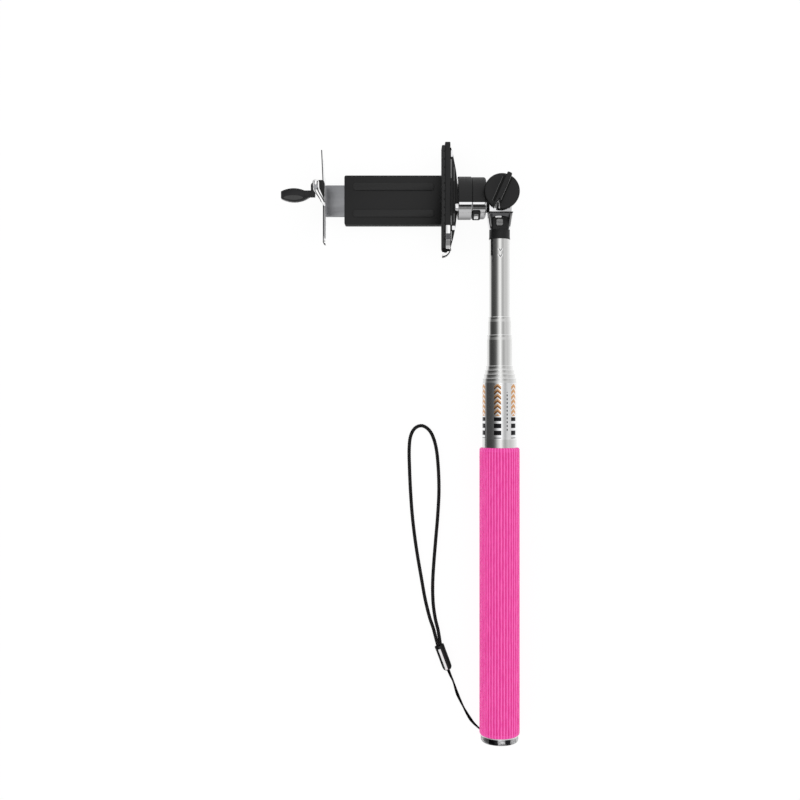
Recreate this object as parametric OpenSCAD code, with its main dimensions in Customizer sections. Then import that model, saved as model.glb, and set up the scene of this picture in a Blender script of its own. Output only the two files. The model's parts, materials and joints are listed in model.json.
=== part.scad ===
// Telescoping hand pole with a tilting phone holder, lying flat on its back.
// The pole runs along +Y, the holder reaches out along -X and +Z faces the user.
// Every module is drawn from the pole's own axis, with Y counted from the end of
// the handle, and placed() then moves it to the middle of the whole outline.

/* [Pole] */
// Outside radius of the widest tube
tube_r = 8.6; // [8.4:0.1:8.8]
// Wall thickness of every tube
tube_wall = 0.3; // [0.25:0.05:0.35]
// Radius lost from each tube to the next
tube_step = 0.575; // [0.55:0.005:0.6]
// Where the mouth of the widest tube lies
mouth_y = 182.5; // [180:0.5:184]
// How far each pushed-in tube stands out of the one around it
peek = 2.1; // [1.8:0.1:2.4]
// How far the fifth tube is drawn out as the pole lies
out_5 = 13.4; // [5:0.2:20]
// How far the sixth tube is drawn out as the pole lies
out_6 = 20.4; // [18:0.2:30]
// How far the thinnest tube is drawn out as the pole lies
out_7 = 59.4; // [50:0.1:60]

/* [Grip] */
// Outside radius of the rubber sleeve
grip_r = 10.1; // [9.8:0.1:10.4]
// Where the sleeve starts
grip_y = 3.5; // [3.4:0.1:4.5]
// Length of the sleeve
grip_l = 144.6; // [130:0.2:146]
// Number of grooves around the sleeve
grooves = 42; // [20:2:42]

/* [Head] */
// Where the tilt pivot lies
pivot_y = 274.9; // [274.6:0.1:275.2]
// Where the axis of the round neck lies
neck_y = 273.7; // [273.4:0.1:273.9]
// Outside radius of the neck
neck_r = 10.8; // [10.7:0.1:11.2]
// Radius of the tilt knob
knob_r = 8.8; // [8.5:0.1:9.2]
// How far the knob's bar leans from the pole's axis
bar_lean = 23.5; // [0:0.5:45]

/* [Holder] */
// Gap between the jaws as the holder is set
phone_gap = 58.6; // [55:0.1:62]
// Where the face of the fixed jaw's pad lies
pad_face_x = -29.3; // [-29.4:0.1:-29.2]
// Front edge of both jaws, counted from the pole's axis
jaw_front = 6; // [5:0.5:6]
// Top of the fixed jaw
jaw_top = 300.9; // [300:0.1:302]
// Bottom of the fixed jaw
jaw_low = 247.7; // [247:0.1:249]

/* [Hidden] */
$fn = 96;

// The frame: the middle of the outline in X and Y, and the lowest point in Z.
lever_tip_x = -109.3;
frame_x = -(lever_tip_x + grip_r) / 2;
frame_y = -jaw_top / 2;
frame_z = neck_r;
floor_z = -neck_r;

// Tubes: all the moving ones start at the same height when they are pushed in.
tube_foot_y = 13;
lip_l = 2.6;
lip_gap = 0.05;
bush_gap = 0.03;
bush_l = 24;
cap_r = 9.4;
cap_l = 3.4;
plug_l = 9;
pulled = [0, 0, 0, 0, out_5, out_6, out_7];
function tube_radius(k) = tube_r - k * tube_step;
function tube_top(k) = mouth_y + k * peek + pulled[k];

// Collar, plug and clevis on the thinnest tube.
collar_y = mouth_y + 5 * peek + 0.4 + out_7;
collar_l = 4.8;
clevis_y = collar_y + collar_l;
clevis_half_x = 6.4;
clevis_base_l = 8.4;
// The cheeks are narrower than the base, so the flange of the neck swings past them.
cheek_half = 5.5;
cheek_in = 5.2;
cheek_out = 6.3;
window_half = 4.2;
window_l = 6.4;
bolt_r = 2.5;
eye_r = 4.9;
washer_l = 0.5;

// Knob.
knob_z = 11.6;
knob_l = 2.6;
bar_w = 2.4;
bar_l = 2.2;
insert_r = 3.6;

// Neck, from the pole outwards along -X.
flange_x = -5.9;
flange_l = 1;
flange_r = 7.2;
boss_l = 7;
ring_x = -7.1;
foot_x = -14.4;
back_x = -21.2;
boss_r = 6;
ring_l = 7.1;
ring_r = 10.5;
screw_r = 3.175;
cover_l = 0.8;
// The dark covers reach this far past the neck's axis towards the handle.
cover_drop = 3.7;

// Holder.
plate_x = -25;
plate_w = 2.7;
rail_half = 12.5;
rail_front = -4.4;
rail_rear = -10.2;
rail_end_x = -78.5;
groove_half = 8.3;
groove_front = -6.7;
tongue_half = 8;
tongue_front = -7;
tongue_l = 1.6;
slide_face_x = pad_face_x - phone_gap;
liner_w = 0.3;
slide_w = 0.5;
slide_low = 251.1;
slide_top = 296.8;
post_low = 273;
post_top = 281.8;
hub_x = slide_face_x - 4.2;
hub_y = 278;
pin_r = 0.8;
arm_y = 273.9;
cam_z = jaw_front + 0.3;
cam_l = 1.8;

// The wrist strap lies on the ground left of the handle.
thread_r = 0.6;
loop_r = 0.9;
bead_r = 2.5;
bead_low = [-25.4, 33.2, floor_z + bead_r];
bead_high = [-30.1, 46.7, floor_z + bead_r];
// Both routes give X and Y, and the height of the cord's middle above the ground.
thread_route = [[-3.5, 2.2, 8], [-5, 2.2, 6.1], [-6.8, 2.3, 3.7], [-8.5, 2.9, 1.7], [-10.8, 4.5, 0.8],
    [-13.4, 7.2, 0.6], [-15.9, 11.1, 0.6], [-18.1, 15.3, 0.6], [-20.7, 20.9, 0.6], [-22.8, 27.3, 0.9],
    [-24.2, 30.5, 1.6], [-25.4, 33.6, 2.2]];
loop_route = [[-30.8, 46.2, 2.4], [-31.6, 49.2, 2.2], [-33.1, 54.8, 1.4], [-35, 60.4, 0.9],
    [-37.3, 69.8, 0.9], [-39.3, 81, 0.9], [-41.2, 92, 0.9], [-42.8, 103, 0.9],
    [-44, 114, 0.9], [-44.8, 125.4, 0.9], [-45.3, 136.5, 0.9], [-45.5, 146.5, 0.9],
    [-44.8, 153.2, 0.9], [-42.6, 157.4, 0.9], [-39.1, 158.8, 0.9], [-35.7, 157, 0.9],
    [-33.3, 153.2, 0.9], [-31.5, 146.6, 0.9], [-30.5, 136.5, 0.9], [-30.2, 125, 0.9],
    [-30.8, 113, 0.9], [-31.8, 101, 0.9], [-32.8, 88.7, 0.9], [-33.4, 78, 0.9],
    [-33.2, 68, 0.9], [-32.1, 59.9, 0.9], [-30.6, 53.6, 1.4], [-29.5, 46.6, 2.4]];

module placed() {
    translate([frame_x, frame_y, frame_z]) children();
}

// Turns a shape drawn up the Z axis so that it runs along +Y from height y.
module up_pole(y) {
    translate([0, y, 0]) rotate([-90, 0, 0]) children();
}

// Turns a shape drawn up the Z axis so that it runs out along -X from x.
module out_neck(x) {
    translate([x, neck_y, 0]) rotate([0, -90, 0]) children();
}

// A hollow cylinder.
module pipe(r, hole_r, l) {
    difference() {
        cylinder(h = l, r = r);
        translate([0, 0, -1]) cylinder(h = l + 2, r = hole_r);
    }
}

// A cylinder with a rounded edge at its low end, its high end or both.
module rounded_rod(r, l, low, high) {
    step = 15;
    rotate_extrude()
        polygon(concat([[0, 0]],
            [for (a = [0:step:90]) [r - low + low * sin(a), low - low * cos(a)]],
            [for (a = [0:step:90]) [r - high + high * cos(a), l - high + high * sin(a)]],
            [[0, l]]));
}

// A flat outline with round corners.
module rounded_rect(x0, y0, x1, y1, r) {
    union() {
        translate([x0 + r, y0]) square([x1 - x0 - 2 * r, y1 - y0]);
        translate([x0, y0 + r]) square([x1 - x0, y1 - y0 - 2 * r]);
        for (x = [x0 + r, x1 - r], y = [y0 + r, y1 - r]) translate([x, y]) circle(r = r);
    }
}

// A flat outline drawn in X and Y, thickened from height z0 to z1.
module slab(z0, z1) {
    translate([0, 0, z0]) linear_extrude(z1 - z0) children();
}

// A tube whose mouth is necked in to hold the next tube.
module lipped_tube(r, l) {
    inner = r - tube_wall;
    lip_in = r - tube_step + lip_gap;
    lip_out = lip_in + tube_wall;
    rotate_extrude()
        polygon([[inner, 0], [r, 0], [r, l - lip_l + 0.4], [lip_out, l - 0.9],
            [lip_out, l - 0.15], [lip_out - 0.12, l], [lip_in, l], [lip_in, l - lip_l + 0.8],
            [inner, l - lip_l]]);
}

// ---- The cord: a tube swept along a smooth line through the route's points.
function bend(a, b, c, d, t) = 0.5 * (2 * b + (c - a) * t
    + (2 * a - 5 * b + 4 * c - d) * t * t + (3 * b - a - 3 * c + d) * t * t * t);
function near(p, i) = p[max(0, min(len(p) - 1, i))];
function smooth(p, steps) = [for (i = [0:len(p) - 2], s = [0:steps - 1])
    bend(near(p, i - 1), p[i], p[i + 1], near(p, i + 2), s / steps), p[len(p) - 1]];
function unit(v) = v / norm(v);
function heading(p, i) = unit(near(p, i + 1) - near(p, i - 1));
function ring(p, i, r, sides) = let (t = heading(p, i), s = unit(cross(t, [0, 0, 1])), u = cross(s, t))
    [for (k = [0:sides - 1]) p[i] + r * (cos(360 * k / sides) * s + sin(360 * k / sides) * u)];
module swept(route, r) {
    sides = 8;
    path = smooth([for (p = route) p + [0, 0, floor_z]], 2);
    rings = len(path);
    polyhedron(
        points = [for (i = [0:rings - 1]) each ring(path, i, r, sides)],
        faces = concat(
            [[for (k = [0:sides - 1]) k]],
            [for (i = [0:rings - 2], k = [0:sides - 1]) let (n = (k + 1) % sides)
                [i * sides + n, i * sides + k, (i + 1) * sides + k, (i + 1) * sides + n]],
            [[for (k = [0:sides - 1]) (rings - 1) * sides + sides - 1 - k]]));
}

// ---- Handle
module outer_tube() {
    color("silver") placed() up_pole(cap_l) lipped_tube(tube_r, mouth_y - cap_l);
}

module grip_sleeve() {
    groove_r = 0.45;
    end_land = 2.2;
    color("deeppink") placed() up_pole(grip_y) difference() {
        rounded_rod(grip_r, grip_l, 1.2, 1.2);
        translate([0, 0, -1]) cylinder(h = grip_l + 2, r = tube_r + 0.02);
        for (k = [0:grooves - 1]) rotate([0, 0, k * 360 / grooves])
            translate([grip_r + 0.12, 0, end_land]) cylinder(h = grip_l - 2 * end_land, r = groove_r);
    }
}

module end_cap() {
    color("gainsboro") placed() difference() {
        up_pole(0) rounded_rod(cap_r, cap_l, 1.4, 0.3);
        up_pole(1) cylinder(h = cap_l, r = 5);
        translate([-2.4, 2.2, -6]) cylinder(h = 12, r = 0.81);
        translate([0, 2.2, 0]) rotate([0, -135, 0]) cylinder(h = cap_r + 2, r = 0.7);
    }
}

module cap_plug() {
    color("dimgray") placed() up_pole(cap_l)
        pipe(tube_r - tube_wall - 0.02, 4, plug_l);
}

module strap_pin() {
    color("silver") placed() translate([-2.4, 2.2, -5.6]) cylinder(h = 11.2, r = 0.8);
}

module label_film() {
    color("orange") placed() up_pole(151) pipe(tube_r + 0.1, tube_r + 0.02, 29.5);
}

module strap_thread() {
    color("black") placed() swept(thread_route, thread_r);
}

module strap_bead() {
    run = bead_high - bead_low;
    color("black") placed() translate(bead_low)
        rotate([-90, 0, atan2(-run[0], run[1])]) rounded_rod(bead_r, norm(run), 0.6, 0.6);
}

module strap_loop() {
    color("black") placed() swept(loop_route, loop_r);
}

// ---- Sliding tubes, k = 1 for the widest of them
module sliding_tube(k) {
    low = tube_foot_y + pulled[k];
    color("silver") placed() up_pole(low)
        if (k < 6) lipped_tube(tube_radius(k), tube_top(k) - low);
        else pipe(tube_radius(k), tube_radius(k) - tube_wall, collar_y + 3 - low);
}

// A friction sleeve on the foot of a sliding tube, which also stops it at the lip outside.
module sliding_bush(k) {
    color("peru") placed() up_pole(tube_foot_y + pulled[k])
        pipe(tube_radius(k - 1) - tube_wall - bush_gap, tube_radius(k) + 0.01, bush_l + peek * (k - 1));
}

module tube_2() sliding_tube(1);
module tube_3() sliding_tube(2);
module tube_4() sliding_tube(3);
module tube_5() sliding_tube(4);
module tube_6() sliding_tube(5);
module tube_7() sliding_tube(6);
module bush_2() sliding_bush(1);
module bush_3() sliding_bush(2);
module bush_4() sliding_bush(3);
module bush_5() sliding_bush(4);
module bush_6() sliding_bush(5);
module bush_7() sliding_bush(6);

// ---- Top of the thinnest tube
module arch(half, l) {
    rise_r = 2.6 * half;
    union() {
        translate([-half, 0]) square([2 * half, l - half * 0.4]);
        intersection() {
            translate([0, l - rise_r]) circle(r = rise_r);
            translate([-half, l - half]) square([2 * half, half]);
        }
    }
}

module top_collar() {
    r = tube_radius(6);
    color("black") placed() union() {
        difference() {
            up_pole(collar_y) rotate_extrude()
                polygon([[0, 0], [r + 0.15, 0], [r + 0.15, 0.5], [r + 0.05, 1.4],
                    [r + 0.05, collar_l], [0, collar_l]]);
            up_pole(collar_y - 1) cylinder(h = 4.05, r = r + 0.01);
        }
        intersection() {
            translate([0, clevis_y, 0]) slab(-4, cheek_in) arch(window_half - 0.02, window_l - 0.1);
            up_pole(clevis_y) cylinder(h = window_l, r = 6);
            translate([-10, clevis_y - 1, -10]) cube([20, 20, 10 + cheek_in - 0.4]);
        }
    }
}

module collar_screw() {
    head_w = 3.2;
    head_x = -0.4;
    head_y = clevis_y + 3.3;
    color("silver") placed() difference() {
        slab(cheek_in - 0.4, cheek_in + 0.6)
            translate([head_x, head_y]) rounded_rect(-head_w / 2, -head_w / 2, head_w / 2, head_w / 2, 0.8);
        translate([head_x - 3, head_y - 0.25, cheek_in + 0.3]) cube([6, 0.5, 1]);
    }
}

module clevis() {
    base_top = clevis_y + clevis_base_l;
    color("gainsboro") placed() difference() {
        union() {
            hull() {
                up_pole(clevis_y) cylinder(h = 0.6, r = 5.3, $fn = 32);
                translate([0, base_top - 1, 0]) rotate([-90, 0, 0]) linear_extrude(1)
                    rounded_rect(-clevis_half_x, -cheek_out, clevis_half_x, cheek_out, 2.6, $fn = 32);
            }
            for (side = [0, 1]) mirror([0, 0, side]) slab(cheek_in, cheek_out) union() {
                translate([-cheek_half, base_top - 1]) square([2 * cheek_half, pivot_y - base_top + 1]);
                translate([0, pivot_y]) circle(r = cheek_half);
            }
        }
        translate([0, clevis_y - 1, 0]) slab(-4.02, cheek_out + 1) arch(window_half, window_l + 1);
        translate([-10, base_top - 0.15, cheek_out - 0.25]) cube([20, 0.3, 1]);
        translate([0, pivot_y, -10]) cylinder(h = 20, r = bolt_r + 0.05);
    }
}

module tilt_washers() {
    color("dimgray") placed() for (side = [0, 1]) mirror([0, 0, side])
        translate([0, pivot_y, cheek_in - washer_l - 0.05]) pipe(4.6, bolt_r + 0.05, washer_l);
}

module pivot_bolt() {
    head_l = 2;
    color("silver") placed() translate([0, pivot_y, 0]) union() {
        translate([0, 0, -cheek_out]) cylinder(h = cheek_out + knob_z + 1.2, r = bolt_r);
        translate([0, 0, -cheek_out - head_l]) cylinder(h = head_l, r = 4.2, $fn = 6);
    }
}

// ---- Knob
module knob_body() {
    hub_r = 5;
    notch = [[-4.6, -8.6], [-1.5, -3.8], [-0.9, -9.4]];
    color("black") placed() translate([0, pivot_y, 0]) difference() {
        union() {
            translate([0, 0, cheek_out + 0.15]) cylinder(h = knob_z - cheek_out, r = hub_r);
            translate([0, 0, knob_z]) rounded_rod(knob_r, knob_l, 0.4, 0.7);
            rotate([0, 0, -bar_lean]) translate([0, 0, knob_z + 0.3])
                slab(0, knob_l + bar_l) rounded_rect(-bar_w / 2, -8.3, bar_w / 2, 9.4, 0.6);
        }
        translate([0, 0, knob_z - 2.4]) slab(0, knob_l + bar_l + 4) polygon(notch);
        translate([0, 0, 0]) cylinder(h = knob_z + 1.4, r = insert_r + 0.01);
    }
}

module knob_insert() {
    color("goldenrod") placed() translate([0, pivot_y, cheek_out + 0.15])
        pipe(insert_r, bolt_r + 0.05, knob_z + 1.35 - cheek_out - 0.15);
}

// ---- Head between the clevis and the neck
module tilt_knuckle() {
    half = cheek_in - washer_l - 0.1;
    color("black") placed() difference() {
        union() {
            translate([0, pivot_y, -half]) cylinder(h = 2 * half, r = eye_r);
            translate([flange_x - 0.5, neck_y - 3.1, -half]) cube([-flange_x + 0.5, 6.2, 2 * half]);
            out_neck(flange_x) cylinder(h = flange_l, r = flange_r);
            out_neck(flange_x - flange_l) cylinder(h = boss_l, r = boss_r);
        }
        translate([0, pivot_y, -10]) cylinder(h = 20, r = bolt_r + 0.05);
        out_neck(-8.9) cylinder(h = 20, r = screw_r + 0.02);
    }
}

module swivel_screw() {
    color("silver") placed() out_neck(-9) cylinder(h = 11.4, r = screw_r);
}

module neck_washer() {
    washer_gap = 0.04;
    color("black") placed() out_neck(ring_x - ring_l - washer_gap)
        pipe(ring_r - 0.25, screw_r + 0.05, ring_x - ring_l - foot_x - 2 * washer_gap);
}

// A neck cylinder, thinner over the part that its dark cover wraps.
module neck_barrel(x, r, l, low, high) {
    out_neck(x) difference() {
        rounded_rod(r, l, low, high);
        difference() {
            translate([-20, -cover_drop, -1]) cube([40, 40, l + 2]);
            cylinder(h = l, r = r - cover_l - 0.02);
        }
    }
}

module neck_cover(x, r, l, low, high) {
    out_neck(x) difference() {
        intersection() {
            rounded_rod(r, l, low, high);
            translate([-20, -cover_drop + 0.05, -1]) cube([40, 40, l + 2]);
        }
        translate([0, 0, -1]) cylinder(h = l + 2, r = r - cover_l);
    }
}

module lock_ring() {
    color("gainsboro") placed() difference() {
        neck_barrel(ring_x, ring_r, ring_l, 1.2, 0.25);
        out_neck(ring_x + 1) cylinder(h = ring_l + 2, r = boss_r + 0.05);
    }
}

module ring_grip() {
    color("black") placed() neck_cover(ring_x, ring_r, ring_l, 1.2, 0.25);
}

module ring_lug() {
    lug_w = 4.1;
    lug_l = 6.4;
    lug_turn = 62;
    lug_x = ring_x - ring_l;
    color("black") placed() translate([0, neck_y, 0]) rotate([lug_turn, 0, 0]) difference() {
        translate([lug_x + 0.05, -lug_l / 2, ring_r - 0.9]) slab(0, 1.8)
            rounded_rect(0, 0, lug_w, lug_l, 0.9);
        translate([lug_x - 1, 0, 0]) rotate([0, 90, 0]) cylinder(h = 8, r = ring_r + 0.02);
    }
}

module holder_foot() {
    color("gainsboro") placed() difference() {
        neck_barrel(foot_x, neck_r, foot_x - back_x, 0.25, 0.5);
        out_neck(foot_x + 1) cylinder(h = 7.6, r = 5.22);
    }
}

module foot_cover() {
    color("black") placed() neck_cover(foot_x, neck_r, foot_x - back_x, 0.25, 0.5);
}

module foot_insert() {
    color("goldenrod") placed() out_neck(foot_x - 0.1) pipe(5.2, screw_r + 0.05, 6.3);
}

module foot_pin() {
    color("gainsboro") placed() translate([0, -5.7, 7.15]) out_neck(back_x) rounded_rod(1.95, 1.7, 0, 0.4);
}

// ---- Fixed jaw
module bow_back() {
    bow_r = 90;
    bow_y = 273.6;
    chord_half = 24.6;
    sag_x = back_x - bow_r;
    color("black") placed() difference() {
        slab(-9, 5) intersection() {
            translate([sag_x, bow_y]) circle(r = bow_r, $fn = 200);
            translate([plate_x, bow_y - chord_half]) square([5, 2 * chord_half]);
        }
        for (x = [-23.9, -22.6]) translate([x, 262, 4.2]) cube([0.5, 25, 2]);
    }
}

module jaw_plate() {
    color("dimgray") placed() slab(floor_z, jaw_front)
        rounded_rect(plate_x - plate_w, jaw_low, plate_x, jaw_top, 0.5);
}

module jaw_pad() {
    rib_w = 0.5;
    pad_w = plate_x - plate_w - pad_face_x;
    color("black") placed() difference() {
        slab(-3.6, jaw_front) rounded_rect(pad_face_x, jaw_low, pad_face_x + pad_w, jaw_top - 1.6, 0.5);
        for (y = [252:4:298]) translate([pad_face_x + pad_w - 0.6, y, jaw_front - 0.4]) cube([1, rib_w, 1]);
    }
}

module jaw_hook() {
    hook_r = 4.3;
    hook_x = pad_face_x + 0.2;
    hook_y = jaw_low - 0.02;
    color("gainsboro") placed() union() {
        slab(1.5, jaw_front + 0.5) intersection() {
            difference() {
                translate([hook_x, hook_y]) circle(r = hook_r);
                translate([hook_x, hook_y]) circle(r = hook_r - 1.3);
            }
            translate([hook_x, hook_y - 6]) square([6, 6]);
        }
        slab(jaw_front + 0.02, jaw_front + 0.6) rounded_rect(-27.3, hook_y - 0.5, -25.2, 259.2, 0.4);
        slab(jaw_front - 3, jaw_front + 0.6) translate([-25.8, hook_y - 0.8]) square([1.2, 0.8]);
    }
}

// ---- Rail behind the phone
module rail_housing() {
    color("dimgray") placed() difference() {
        slab(rail_rear, rail_front) rounded_rect(rail_end_x, neck_y - rail_half,
            plate_x - plate_w, neck_y + rail_half, 0.9);
        translate([rail_end_x - 1, neck_y - groove_half, rail_rear - 1])
            cube([48, 2 * groove_half, groove_front - rail_rear + 1]);
        for (x = [-72, -33], y = [-10.4, 10.4]) translate([x, neck_y + y, rail_rear - 1])
            cylinder(h = 4.5, r = 0.82);
    }
}

module rail_cover() {
    color("black") placed() difference() {
        union() {
            slab(floor_z, rail_rear) rounded_rect(rail_end_x, neck_y - rail_half,
                plate_x - plate_w, neck_y + rail_half, 0.9);
            translate([rail_end_x + 0.5, neck_y - 7.8, rail_rear])
                cube([46, 15.6, tongue_front - tongue_l - 0.3 - rail_rear]);
        }
        for (x = [-72, -33], y = [-10.4, 10.4]) translate([x, neck_y + y, floor_z - 1])
            cylinder(h = 4, r = 1.72);
    }
}

module rail_screws() {
    color("silver") placed() for (x = [-72, -33], y = [-10.4, 10.4]) translate([x, neck_y + y, 0]) {
        difference() {
            union() {
                translate([0, 0, rail_rear - 0.8]) cylinder(h = 0.8, r = 1.7);
                translate([0, 0, rail_rear - 0.1]) cylinder(h = 3.2, r = 0.8);
            }
            translate([-0.9, -0.2, rail_rear - 1]) cube([1.8, 0.4, 0.6]);
        }
    }
}

module rest_strips() {
    color("black") placed() for (y = [-8.6, 5]) translate([0, neck_y + y, 0])
        slab(rail_front, rail_front + 0.5) rounded_rect(-74, 0, -33, 3.6, 1.2);
}

// ---- Sliding jaw
module slide_tongue() {
    color("silver") placed() translate([0, neck_y, 0]) union() {
        slab(tongue_front - tongue_l, tongue_front)
            rounded_rect(slide_face_x - liner_w, -tongue_half, -40, tongue_half, 0.4);
        for (y = [-5, 5])
            translate([slide_face_x - liner_w - slide_w - 0.4, y - 1.5, tongue_front - tongue_l])
                cube([slide_w + 0.9, 3, tongue_l]);
    }
}

module slide_plate() {
    outer_x = slide_face_x - liner_w - slide_w;
    bow_r = 480;
    bow_y = 268;
    hook_r = 1.5;
    end_z = -5;
    tip_z = 2;
    color("dimgray") placed() difference() {
        slab(floor_z + 0.3, jaw_front) union() {
            translate([outer_x, slide_low]) square([slide_w, bow_y - slide_low]);
            intersection() {
                difference() {
                    translate([outer_x + slide_w - bow_r, bow_y]) circle(r = bow_r, $fn = 1440);
                    translate([outer_x + slide_w - bow_r, bow_y]) circle(r = bow_r - slide_w, $fn = 1440);
                }
                translate([outer_x - 3, bow_y - 0.01]) square([4, slide_top - bow_y]);
            }
            intersection() {
                difference() {
                    translate([outer_x + hook_r, slide_low]) circle(r = hook_r);
                    translate([outer_x + hook_r, slide_low]) circle(r = hook_r - slide_w);
                }
                translate([outer_x, slide_low - hook_r]) square([1.3, hook_r]);
            }
        }
        for (y = [-5, 5]) translate([outer_x - 1, neck_y + y - 1.52, tongue_front - tongue_l - 0.02])
            cube([slide_w + 2, 3.04, tongue_l + 0.04]);
        for (y = [neck_y - 12 - 40, neck_y + 12]) translate([outer_x - 5, y, floor_z - 1])
            cube([10, 40, end_z - floor_z + 1]);
        for (y = [slide_low + 1.5 - 20, slide_top - 3]) translate([outer_x - 5, y, floor_z - 1])
            cube([10, 20, tip_z - floor_z + 1]);
        translate([outer_x - 2, post_low - 0.1, jaw_front - 0.45]) cube([4, post_top - post_low + 0.2, 1]);
    }
}

module slide_liner() {
    color("dimgray") placed() slab(-3.6, jaw_front - 0.5)
        rounded_rect(slide_face_x - liner_w, 254, slide_face_x, 280.6, 0.1);
}

module pivot_post() {
    post_x = slide_face_x - liner_w - slide_w;
    post_w = 3.4;
    lean = 0.25;
    // The low corner is cut away so that it stays behind the cam.
    cut = [[-0.1, -5.2], [-0.1, -1.4], [0.4, -1.8], [1.5, -3.2], [2.8, -5.2]];
    color("black") placed() difference() {
        union() {
            slab(-5.5, jaw_front - 0.1) intersection() {
                rounded_rect(post_x - post_w, post_low, post_x + 2, post_top, 1.4);
                translate([post_x - post_w, post_low]) square([post_w - lean, post_top - post_low]);
            }
            slab(jaw_front - 0.4, jaw_front)
                rounded_rect(post_x - post_w, post_low, slide_face_x, post_top, 1.4);
        }
        translate([hub_x, hub_y, -10]) cylinder(h = 30, r = pin_r + 0.01);
        slab(-10, 20) translate([hub_x, hub_y]) polygon(cut);
    }
}

module lever_pin() {
    color("silver") placed() translate([hub_x, hub_y, 0]) union() {
        translate([0, 0, -5.5]) cylinder(h = cam_z + cam_l + 5.6, r = pin_r);
        translate([0, 0, cam_z + cam_l + 0.1]) cylinder(h = 0.5, r = 1.1);
    }
}

// ---- Lever
// The cam's outline, a bent band through four round places, grown by a margin.
module cam_outline(margin) {
    stops = [[0, 2.2, 1.65], [0.2, -1, 1.6], [2.5, -5.1, 1.05], [4.4, -9.1, 0.5]];
    for (i = [0:2]) hull() for (stop = [stops[i], stops[i + 1]])
        translate([hub_x + stop[0], hub_y + stop[1]]) circle(r = stop[2] + margin, $fn = 32);
}

module cam_link() {
    color("gainsboro") placed() difference() {
        slab(cam_z, cam_z + cam_l) cam_outline(0);
        translate([hub_x, hub_y, 0]) cylinder(h = 20, r = pin_r + 0.05);
    }
}

module lever_arm() {
    tip_l = 12.6;
    tip_half = 3.25;
    side_r = 13.5;
    stem_half = 1.6;
    stem_y = arm_y + 0.65;
    end_r = 1.6;
    tip_x = lever_tip_x + tip_l / 2;
    color("black") placed() union() {
        slab(cam_z - 0.05, cam_z + 2) difference() {
            union() {
                translate([tip_x + 4, stem_y - stem_half]) square([hub_x - tip_x - 4, 2 * stem_half]);
                hull() for (low = [0, 2.9])
                    translate([hub_x - 0.8, hub_y + 0.6 - low]) circle(r = end_r);
            }
            cam_outline(0.02);
            translate([hub_x - 0.3, arm_y - 5]) square(12);
        }
        slab(cam_z - 1.5, cam_z + 2.6) intersection() {
            translate([tip_x, arm_y + tip_half - side_r]) circle(r = side_r);
            translate([tip_x, arm_y - tip_half + side_r]) circle(r = side_r);
            translate([lever_tip_x, arm_y - 5]) square([tip_l + 1.5, 10]);
        }
    }
}

outer_tube();
grip_sleeve();
end_cap();
cap_plug();
strap_pin();
label_film();
strap_thread();
strap_bead();
strap_loop();
tube_2();
tube_3();
tube_4();
tube_5();
tube_6();
tube_7();
bush_2();
bush_3();
bush_4();
bush_5();
bush_6();
bush_7();
top_collar();
collar_screw();
clevis();
tilt_washers();
pivot_bolt();
knob_body();
knob_insert();
tilt_knuckle();
swivel_screw();
neck_washer();
lock_ring();
ring_grip();
ring_lug();
holder_foot();
foot_cover();
foot_insert();
foot_pin();
bow_back();
jaw_plate();
jaw_pad();
jaw_hook();
rail_housing();
rail_cover();
rail_screws();
rest_strips();
slide_tongue();
slide_plate();
slide_liner();
pivot_post();
lever_pin();
cam_link();
lever_arm();
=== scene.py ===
import json
import math

import bmesh
import bpy
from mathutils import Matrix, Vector


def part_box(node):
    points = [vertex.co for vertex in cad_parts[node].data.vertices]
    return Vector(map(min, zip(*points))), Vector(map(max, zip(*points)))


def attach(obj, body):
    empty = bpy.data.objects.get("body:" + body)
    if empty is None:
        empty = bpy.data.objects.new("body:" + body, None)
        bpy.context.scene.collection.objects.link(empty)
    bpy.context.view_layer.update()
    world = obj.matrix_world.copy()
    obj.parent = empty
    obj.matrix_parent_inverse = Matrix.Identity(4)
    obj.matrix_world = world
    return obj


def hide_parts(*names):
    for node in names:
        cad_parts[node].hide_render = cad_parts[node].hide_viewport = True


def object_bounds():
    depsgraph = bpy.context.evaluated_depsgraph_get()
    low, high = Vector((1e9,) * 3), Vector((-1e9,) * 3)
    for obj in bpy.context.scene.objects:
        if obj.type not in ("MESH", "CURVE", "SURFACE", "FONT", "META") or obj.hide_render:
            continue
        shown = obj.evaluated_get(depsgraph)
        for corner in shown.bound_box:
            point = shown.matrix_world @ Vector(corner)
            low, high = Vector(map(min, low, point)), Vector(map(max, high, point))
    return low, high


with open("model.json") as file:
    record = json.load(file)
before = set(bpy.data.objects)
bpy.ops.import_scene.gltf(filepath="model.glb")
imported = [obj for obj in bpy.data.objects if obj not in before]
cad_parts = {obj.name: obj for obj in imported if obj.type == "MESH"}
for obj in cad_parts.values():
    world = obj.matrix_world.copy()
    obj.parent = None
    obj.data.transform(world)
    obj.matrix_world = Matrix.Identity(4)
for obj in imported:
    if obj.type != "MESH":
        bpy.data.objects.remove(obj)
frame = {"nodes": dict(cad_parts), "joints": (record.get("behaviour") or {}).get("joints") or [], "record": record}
NODES = frame["nodes"]
CAD_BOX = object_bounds()
MM = 0.001
BODY_OF = {node: body for body, nodes in frame["record"]["behaviour"]["bodies"].items() for node in nodes}
SLOT_OF = {part["node"]: part["material_slot"] for part in frame["record"]["subparts"]}


def centre(node):
    """The middle of a node's box."""
    low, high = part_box(node)
    return (low + high) / 2


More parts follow.
